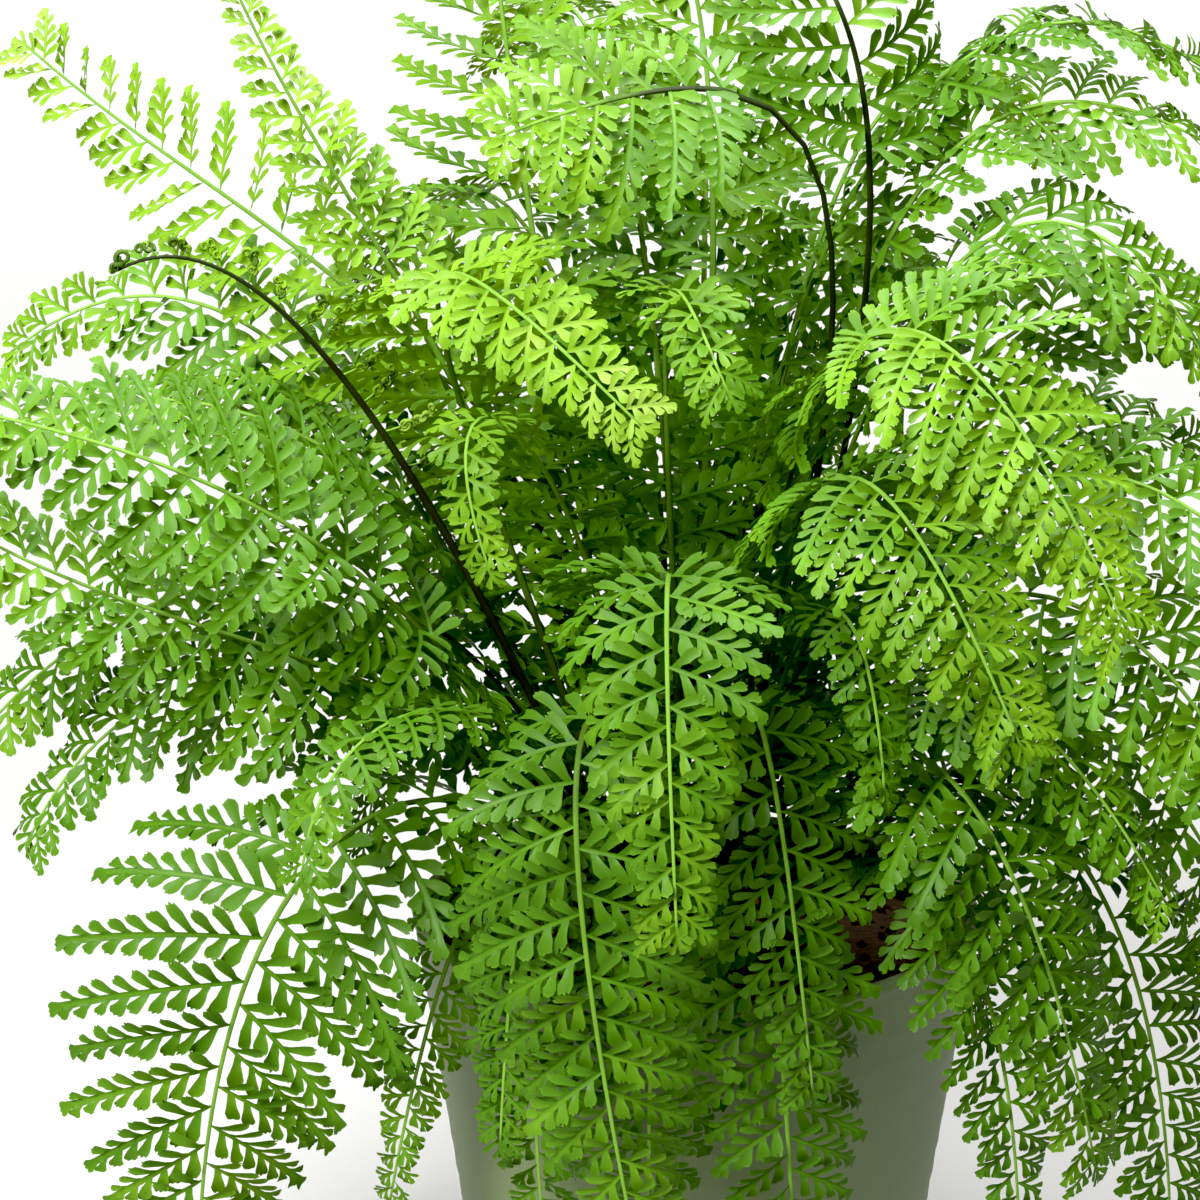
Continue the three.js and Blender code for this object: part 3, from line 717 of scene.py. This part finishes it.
def grow(frond, number):
    """A whole frond. Its leaflets are more and finer than the solid's, on the same midrib and
    within the same outline, with a few small ones further down a stalk that isn't dark."""
    draw = np.random.RandomState(100 + number)
    leaf = Leaf()
    course = midrib(frond)
    turn = frond.get("turn", 0)
    start = frond.get("bare", mix(*BARE_STALK, frond["level"]))
    stalk(leaf, frond, start)
    length = walk(course, [0.5], turn)[4]
    pitch = LEAFLET_PITCH * frond.get("fine", 1) * (frond["spread"] / 40) ** 0.4
    count = round((1 - start) * length / pitch * LEAFLET_CLOSENESS)
    steps = np.arange(count * 2 + 1) / 2
    places = start + (1 - start) * (1 - np.clip(1 - steps / (count + 0.5), 0, 1) ** CROWDING)
    if not frond.get("dark"):
        step = (places[1] - places[0]) * BELOW_STEP
        places = np.r_[np.arange(start - step, start * LEAFLETS_FROM, -step)[::-1], places]
    shares = places[:-1]
    rooms = np.gradient(places)[:-1] * 2 * length
    point, along, side, up, _ = walk(course, shares, turn)
    for k, share in enumerate(shares):
        sign = -1 if k % 2 == 0 else 1
        run = (share - start) / (1 - start)
        if run < WIDEST:
            reach = mix(frond.get("foot", FOOT_SHARE), 1, run / WIDEST)
        else:
            reach = ((1 - run) / (1 - WIDEST)) ** TAPER
        reach = frond["spread"] * max(reach, BELOW_SHARE) * draw.normal(1, 0.05)
        if reach < SHORTEST_LEAFLET:
            continue
        lean = math.radians(mix(*LEAFLET_LEAN, max(run, 0)) + draw.normal(0, 3.5))
        out = along[k] * math.cos(lean) + side[k] * sign * math.sin(lean)
        base = point[k] + side[k] * sign * OFF_MIDRIB
        room = min(rooms[k], 0.62 * reach + 3)
        # Deeper green towards the blade's foot: partly older leaflets, partly painted shade of the plant's
        # interior
        tone = frond["age"] + OLD_AND_SHADED_FOOT - (OLD_AND_SHADED_FOOT + YOUNG_TIP) * run + draw.normal(0, 0.05)
        leaflet(leaf, base, out, along[k], up[k], reach, room, tone, draw,
                lift=LEAFLET_LIFT + draw.normal(0, 0.08), sag=LEAFLET_SAG * draw.normal(1, 0.4),
                twist=frond.get("twist", 0) + draw.normal(0, 0.2))
    point, along, side, up, _ = walk(course, [LAST_LEAFLET], turn)
    leaflet(leaf, point[0], along[0], side[0], up[0], LAST_REACH, LAST_ROOM,
            frond["age"] - YOUNG_TIP, draw)
    return leaf


def place_frond(leaf, name, node):
    """Makes the collected frond a piece in place of its node."""
    marks = np.concatenate(leaf.marks)
    thing = smooth_piece(name, np.concatenate(leaf.points), leaf.faces,
                         [blade_finish, stalk_finish], leaf.finish,
                         {"rib": marks[:, 0], "rim": marks[:, 1], "tone": marks[:, 2]})
    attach(thing, "root")
    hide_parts(node)


# Living leaf: soft, thin and slightly waxy. It scatters light through, is paler along its ribs
# and at its notched ends, fresh yellow-green when young and deep green when old, and deeper still
# at a blade's foot as painted shade. The green drifts over some 17 mm, and the skin's grain is
# drawn 0.8 mm wide, far coarser than real, to show.
blade_finish, tree = new_finish("living_fern_leaf")
rib = add_node(tree, "ShaderNodeAttribute", {}, attribute_name="rib")
rim = add_node(tree, "ShaderNodeAttribute", {}, attribute_name="rim")
age = add_node(tree, "ShaderNodeAttribute", {}, attribute_name="tone")
place = add_node(tree, "ShaderNodeTexCoord", {})
drift = add_node(tree, "ShaderNodeTexNoise", {
    "Vector": (place, "Object"), "Scale": 60.0, "Detail": 4.0})
drifted = add_node(tree, "ShaderNodeMapRange", {
    0: (drift, "Fac"), 1: 0.3, 2: 0.7, 3: 0.08, 4: 0.32})
mature = add_node(tree, "ShaderNodeMath", {
    0: (age, "Fac"), 1: 0.8, 2: (drifted, 0)}, operation="MULTIPLY_ADD")
leaf_tone = add_node(tree, "ShaderNodeValToRGB", {0: (mature, 0)})
ramp = leaf_tone.color_ramp
ramp.elements[0].position, ramp.elements[0].color = 0.0, linear("8BA44C")
ramp.elements[1].position, ramp.elements[1].color = 1.0, linear("173B05")
ramp.elements.new(0.2).color = linear("6A8F1A")
ramp.elements.new(0.6).color = linear("345F08")
rib_share = add_node(tree, "ShaderNodeMath", {0: (rib, "Fac"), 1: 0.3}, operation="MULTIPLY")
ribbed = add_node(tree, "ShaderNodeMix", {
    0: (rib_share, 0), 6: (leaf_tone, "Color"), 7: linear("76A030")}, data_type="RGBA")
rim_share = add_node(tree, "ShaderNodeMath", {0: (rim, "Fac"), 1: 0.3}, operation="MULTIPLY")
edged = add_node(tree, "ShaderNodeMix", {
    0: (rim_share, 0), 6: (ribbed, 2), 7: linear("82AC3C")}, data_type="RGBA")
fine = add_node(tree, "ShaderNodeTexNoise", {
    "Vector": (place, "Object"), "Scale": 1200.0, "Detail": 2.0})
grain = add_node(tree, "ShaderNodeBump", {
    "Height": (fine, "Fac"), "Strength": 0.15, "Distance": 0.0003})
surface = add_node(tree, "ShaderNodeBsdfPrincipled", {
    "Base Color": (edged, 2), "Roughness": 0.5, "IOR": 1.33, "Specular IOR Level": 0.3,
    "Normal": (grain, "Normal")})
glow = add_node(tree, "ShaderNodeHueSaturation", {
    "Color": (edged, 2), "Hue": 0.49, "Saturation": 1.15, "Value": 1.1})
through = add_node(tree, "ShaderNodeBsdfTranslucent", {"Color": (glow, "Color")})
leaf_shader = add_node(tree, "ShaderNodeMixShader", {
    0: 0.2, 1: (surface, "BSDF"), 2: (through, "BSDF")})
add_node(tree, "ShaderNodeOutputMaterial", {"Surface": (leaf_shader, "Shader")})

# Living fern stalk: tough and smooth with a low sheen, almost black at the foot and green where
# it carries leaflets, in patches of 11 mm. On dark-stalked fronds the dark runs further up.
stalk_finish, tree = new_finish("fern_stalk")
up_stalk = add_node(tree, "ShaderNodeAttribute", {}, attribute_name="rib")
place = add_node(tree, "ShaderNodeTexCoord", {})
drift = add_node(tree, "ShaderNodeTexNoise", {
    "Vector": (place, "Object"), "Scale": 90.0, "Detail": 3.0})
uneven = add_node(tree, "ShaderNodeMapRange", {
    0: (drift, "Fac"), 1: 0.3, 2: 0.7, 3: -0.08, 4: 0.08})
height = add_node(tree, "ShaderNodeMath", {
    0: (up_stalk, "Fac"), 1: (uneven, 0)}, operation="ADD")
stalk_tone = add_node(tree, "ShaderNodeValToRGB", {0: (height, 0)})
ramp = stalk_tone.color_ramp
ramp.elements[0].position, ramp.elements[0].color = 0.06, linear("1A1A0C")
ramp.elements[1].position, ramp.elements[1].color = 0.85, linear("62882E")
ramp.elements.new(0.3).color = linear("263410")
ramp.elements.new(0.5).color = linear("48681C")
shader = add_node(tree, "ShaderNodeBsdfPrincipled", {
    "Base Color": (stalk_tone, "Color"), "Roughness": 0.6, "IOR": 1.35, "Specular IOR Level": 0.2})
add_node(tree, "ShaderNodeOutputMaterial", {"Surface": (shader, "BSDF")})

for number, frond in enumerate(FRONDS, 1):
    node_name = f"frond_{number:02d}"
    place_frond(grow(frond, number), f"fern_{node_name}", node_name)


# The young frond
# The newest leaf, still unrolling: a dark wiry stalk that arches over and ends in a tight coil, of
# the same leaf and stalk as the rest. Its leaflets grow up from it as thin stalks, with their
# lobes still rolled into little knobs, brown outside and lime where they open.

YOUNG_FROND = dict(azimuth=-170, level=0.72, rise=(-60, -16, 255), shoulder=(-109, -45, 366),
                   tip=(-151, -56, 341), spread=9, bare=0.6, age=0.1, dark=1.1, stout=1.5)
YOUNG_LEAFLETS = 12
YOUNG_REACH = [15.0, 4.0]
YOUNG_LEAN = [125, 40]
YOUNG_ASIDE = 0.35
YOUNG_HALF = [0.38, 0.22]
YOUNG_SWEEP = 0.22
YOUNG_RINGS = 9
KNOB_PITCH = 2.1
KNOB_RADIUS = [1.9, 1.3]
KNOB_HALF = 0.62
KNOBS_FROM = 0.3
KNOB_OFF = 0.7
COIL_TURNS = 1.4
COIL_RINGS = 22
COIL_RADIUS = 2.3
COIL_HALF = 0.95
COIL_TIGHTENING = 0.65
COIL_TAPER = 0.6

# Places on the two ramps: stalk brown and leaf lime, and how often a knob is brown
BROWN_MARK = 0.42
LIME_MARK = 0.1
BROWN_KNOBS = 0.45


def coil(leaf, start, ahead, inward, radius, half, mark, finish):
    """A rod that leaves start in the direction ahead and rolls up towards inward."""
    turns = np.linspace(0, COIL_TURNS * 2 * math.pi, COIL_RINGS)[:, None]
    rolled = radius * (1 - COIL_TIGHTENING * turns / turns[-1])
    out = ahead * np.sin(turns) - inward * np.cos(turns)
    across = np.repeat(np.cross(ahead, inward)[None], COIL_RINGS, axis=0)
    halves = np.linspace(half, half * COIL_TAPER, COIL_RINGS)
    rod(leaf, start + inward * radius + out * rolled, across, out, halves,
        np.full(COIL_RINGS, mark), 0.0, finish)


draw = np.random.RandomState(9)
leaf = Leaf()
stalk(leaf, YOUNG_FROND, YOUNG_FROND["bare"])
places = mix(YOUNG_FROND["bare"], LAST_LEAFLET, np.linspace(0, 1, YOUNG_LEAFLETS) ** 0.9)
point, along, side, up, _ = walk(midrib(YOUNG_FROND), places)
shares = np.linspace(0, 1, YOUNG_RINGS)
for k in range(YOUNG_LEAFLETS):
    run = k / (YOUNG_LEAFLETS - 1)
    lean = math.radians(mix(*YOUNG_LEAN, run) + draw.normal(0, 9))
    aside = side[k] * YOUNG_ASIDE * (1 if k % 2 else -1)
    out = unit(along[k] * math.cos(lean) + up[k] * math.sin(lean) + aside)
    forward = unit(np.cross(np.cross(out, along[k]), out))
    reach = mix(*YOUNG_REACH, run ** 0.7) * draw.normal(1, 0.12)
    bow = forward * YOUNG_SWEEP * (shares ** 2)[:, None]
    small_stalk = point[k] + reach * (out * shares[:, None] + bow)
    across = np.cross(out, forward)
    rod(leaf, small_stalk, np.tile(across, (YOUNG_RINGS, 1)), np.tile(forward, (YOUNG_RINGS, 1)),
        mix(*YOUNG_HALF, shares), np.full(YOUNG_RINGS, GREEN_MARK), 0.0)
    knobs = max(2, round(reach / KNOB_PITCH))
    for step in range(knobs + 1):
        share = mix(KNOBS_FROM, 1.0, step / knobs)
        spot = np.array([np.interp(share, shares, small_stalk[:, axis]) for axis in range(3)])
        last = step == knobs
        hand = forward * (1 if step % 2 else -1)
        ahead = out if last else unit(hand + 0.6 * out + across * draw.normal(0, 0.35))
        inward = unit(np.cross(np.cross(ahead, forward if last else out), ahead))
        brown = draw.rand() < BROWN_KNOBS
        radius = mix(*KNOB_RADIUS, share) * draw.uniform(0.7, 1.1)
        coil(leaf, spot + ahead * (0 if last else KNOB_OFF), ahead, inward, radius, KNOB_HALF,
             BROWN_MARK if brown else LIME_MARK, 1 if brown else 0)

point, along, side, up, _ = walk(midrib(YOUNG_FROND), [LAST_LEAFLET])
coil(leaf, point[0], along[0], up[0], COIL_RADIUS, COIL_HALF, BROWN_MARK, 1)
place_frond(leaf, "young_fern_frond", "young_frond")


# The crown
# The fern's short thick rhizome, half sunk in the soil: a brown woody mound that the stalks grow
# from, with the stubs of old stalks and a coat of thin papery scales.

CROWN_SINK = 12.0
CROWN_FOOT_SHARE = 0.98
CROWN_LUMP = 0.7
CROWN_LUMP_WIDTH = 2.6
CROWN_RINGS = 16
CROWN_SIDES = 96
SCALES = 900
SCALE_LENGTH = [3.0, 6.5]
SCALE_WIDTH = 1.1
SCALE_ROOT = 0.6
SCALE_WIDEST = 0.45
SCALE_BOW = 0.5
STUBS = 18
STUB_BELT = 0.8
STUB_HALF = [1.0, 1.4]
STUB_TAPER = 0.85
STUB_HEIGHT = [4.0, 11.0]


def crown_height(radius):
    """The mound's height at a radius: flat in the middle, and down to the soil at its edge."""
    edge = CROWN_RADIUS * CROWN_FLAT
    return np.interp(radius, [0, edge, CROWN_RADIUS, CROWN_RADIUS + 1],
                     [CROWN_TOP, CROWN_TOP, soil_top, soil_top - 3])


draw = np.random.RandomState(21)
rings = np.linspace(0, CROWN_RADIUS, CROWN_RINGS)
angles = np.linspace(0, 2 * np.pi, CROWN_SIDES, endpoint=False)
crown_x = rings[:, None] * np.cos(angles)
crown_y = rings[:, None] * np.sin(angles)
lump = lumps(crown_x, crown_y, CROWN_LUMP_WIDTH)
crown_z = crown_height(rings)[:, None] - CROWN_LUMP + CROWN_LUMP * lump
crown_x = np.vstack([crown_x, crown_x[-1] * CROWN_FOOT_SHARE])
crown_y = np.vstack([crown_y, crown_y[-1] * CROWN_FOOT_SHARE])
crown_z = np.vstack([crown_z, np.full(CROWN_SIDES, soil_top - CROWN_SINK)])
points = np.stack([crown_x, crown_y, crown_z], axis=-1).reshape(-1, 3).tolist()
faces = ring_faces(0, CROWN_RINGS + 1, CROWN_SIDES, flip=True)
faces.append(tuple(CROWN_RINGS * CROWN_SIDES + k for k in range(CROWN_SIDES)))

for _ in range(SCALES):
    radius = CROWN_RADIUS * math.sqrt(draw.rand())
    angle = draw.uniform(0, 2 * math.pi)
    foot = np.array([radius * math.cos(angle), radius * math.sin(angle), crown_height(radius) - 0.6])
    lean = unit(np.array([draw.normal(0, 0.7), draw.normal(0, 0.7), draw.uniform(0.3, 1.2)]))
    wide = unit(np.cross(lean, [math.cos(angle), math.sin(angle), 0.2])) * SCALE_WIDTH * draw.uniform(0.5, 1)
    long = mix(*SCALE_LENGTH, draw.rand())
    bow = np.cross(wide, lean) * SCALE_BOW
    middle = foot + lean * long * SCALE_WIDEST
    start = len(points)
    points += [foot - wide * SCALE_ROOT, foot + wide * SCALE_ROOT, middle - wide + bow,
               middle + wide + bow, foot + lean * long]
    faces += [(start, start + 1, start + 3, start + 2), (start + 2, start + 3, start + 4)]

stub_angles = angles[::12]
for _ in range(STUBS):
    radius = CROWN_RADIUS * STUB_BELT * math.sqrt(draw.rand())
    angle = draw.uniform(0, 2 * math.pi)
    foot = np.array([radius * math.cos(angle), radius * math.sin(angle), crown_height(radius) - 1])
    head = foot + [draw.normal(0, 2), draw.normal(0, 2), mix(*STUB_HEIGHT, draw.rand())]
    half = mix(*STUB_HALF, draw.rand())
    start = len(points)
    for centre, wide in ((foot, half), (head, half * STUB_TAPER)):
        for t in stub_angles:
            points.append(centre + np.array([wide * math.cos(t), wide * math.sin(t), 0]))
    faces += ring_faces(start, 2, len(stub_angles))
    faces.append(tuple(start + len(stub_angles) + k for k in range(len(stub_angles))))

# Rhizome: dark wood with fibres some 2.4 mm apart under papery scales, dull, and chestnut where
# the scales catch light.
rhizome, tree = new_finish("brown_scaly_rhizome")
place = add_node(tree, "ShaderNodeTexCoord", {})
fibre = add_node(tree, "ShaderNodeTexNoise", {
    "Vector": (place, "Object"), "Scale": 420.0, "Detail": 5.0})
tone = add_node(tree, "ShaderNodeMix", {
    0: (fibre, "Fac"), 6: linear("24160D"), 7: linear("7A5230")}, data_type="RGBA")
grain = add_node(tree, "ShaderNodeBump", {
    "Height": (fibre, "Fac"), "Strength": 0.6, "Distance": 0.0008})
shader = add_node(tree, "ShaderNodeBsdfPrincipled", {
    "Base Color": (tone, 2), "Roughness": 0.82, "Normal": (grain, "Normal")})
add_node(tree, "ShaderNodeOutputMaterial", {"Surface": (shader, "BSDF")})

crown = smooth_piece("scaly_crown", points, faces, [rhizome])
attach(crown, "root")
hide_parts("crown")


# The studio
# A wide pale floor of matte paper that gives off a painted glow of its own, brighter behind the
# plant, so that it ends in an even light ground; soft light from two large square panels in a dim
# white room; and the camera at the photograph's angle, a little above the middle of the foliage.
# Lengths here are metres.

FLOOR_SIZE = 30
ROOM_STRENGTH = 0.22
PLANT_MIDDLE = (-0.02, 0.0, 0.24)
CAMERA_AIM = Vector((-0.027, 0.0, 0.2384))
CAMERA_DISTANCE = 1.1
CAMERA_ELEVATION = math.radians(16)
CAMERA_LENS = 120
CAMERA_SENSOR = 36
BLACK_POINT = 0.012

bpy.ops.mesh.primitive_plane_add(size=FLOOR_SIZE)
floor = bpy.context.object
floor.name = "floor"

# Matte paper: no gloss, a faint unevenness over half a metre, and a painted glow, light that the
# paper itself gives off, growing behind the plant in place of a lit backdrop.
paper, tree = new_finish("matte_background_paper_with_painted_glow")
place = add_node(tree, "ShaderNodeTexCoord", {})
faint = add_node(tree, "ShaderNodeTexNoise", {"Vector": (place, "Object"), "Scale": 2.0})
tone = add_node(tree, "ShaderNodeMix", {
    0: (faint, "Fac"), 6: linear("949492"), 7: linear("9A9A98")}, data_type="RGBA")
behind = add_node(tree, "ShaderNodeSeparateXYZ", {0: (place, "Object")})
# Painted glow: the paper's own light, none up to 0.5 m behind the plant and full at 2.2 m
painted_glow = add_node(tree, "ShaderNodeMapRange", {0: (behind, "Y"), 1: 0.5, 2: 2.2, 3: 0.0, 4: 0.85})
shader = add_node(tree, "ShaderNodeBsdfPrincipled", {
    "Base Color": (tone, 2), "Roughness": 0.9,
    "Emission Color": linear("FFFFFF"), "Emission Strength": (painted_glow, 0)})
add_node(tree, "ShaderNodeOutputMaterial", {"Surface": (shader, "BSDF")})
floor.data.materials.append(paper)

world = bpy.data.worlds.new("soft_white_room")
bpy.context.scene.world = world
world.use_nodes = True
room_light = world.node_tree.nodes["Background"]
room_light.inputs["Color"].default_value = (1, 1, 1, 1)
room_light.inputs["Strength"].default_value = ROOM_STRENGTH


def panel(name, place, aim, size, power):
    """A soft square light panel at place, turned towards aim."""
    light = bpy.data.lights.new(name, "AREA")
    light.size = size
    light.energy = power
    thing = bpy.data.objects.new(name, light)
    bpy.context.scene.collection.objects.link(thing)
    thing.location = place
    direction = Vector(aim) - Vector(place)
    thing.rotation_euler = direction.to_track_quat("-Z", "Y").to_euler()


panel("key_panel", (-0.7, -1.2, 1.5), PLANT_MIDDLE, 0.7, 96)
panel("top_panel", (0.2, 0.3, 1.8), PLANT_MIDDLE, 0.9, 74)

backward = Vector((0, -math.cos(CAMERA_ELEVATION), math.sin(CAMERA_ELEVATION)))
eye = CAMERA_AIM + CAMERA_DISTANCE * backward
camera_data = bpy.data.cameras.new("camera")
camera_data.lens = CAMERA_LENS
camera_data.sensor_width = CAMERA_SENSOR
camera = bpy.data.objects.new("camera", camera_data)
bpy.context.scene.collection.objects.link(camera)
camera.location = eye
camera.rotation_euler = (CAMERA_AIM - eye).to_track_quat("-Z", "Y").to_euler()
bpy.context.scene.camera = camera

# The picture is shown as it is lit, with its deepest shades drawn down to black as in the photo
look = bpy.context.scene.view_settings
look.view_transform = "Standard"
look.use_curve_mapping = True
look.curve_mapping.black_level = (BLACK_POINT, BLACK_POINT, BLACK_POINT)
look.curve_mapping.update()
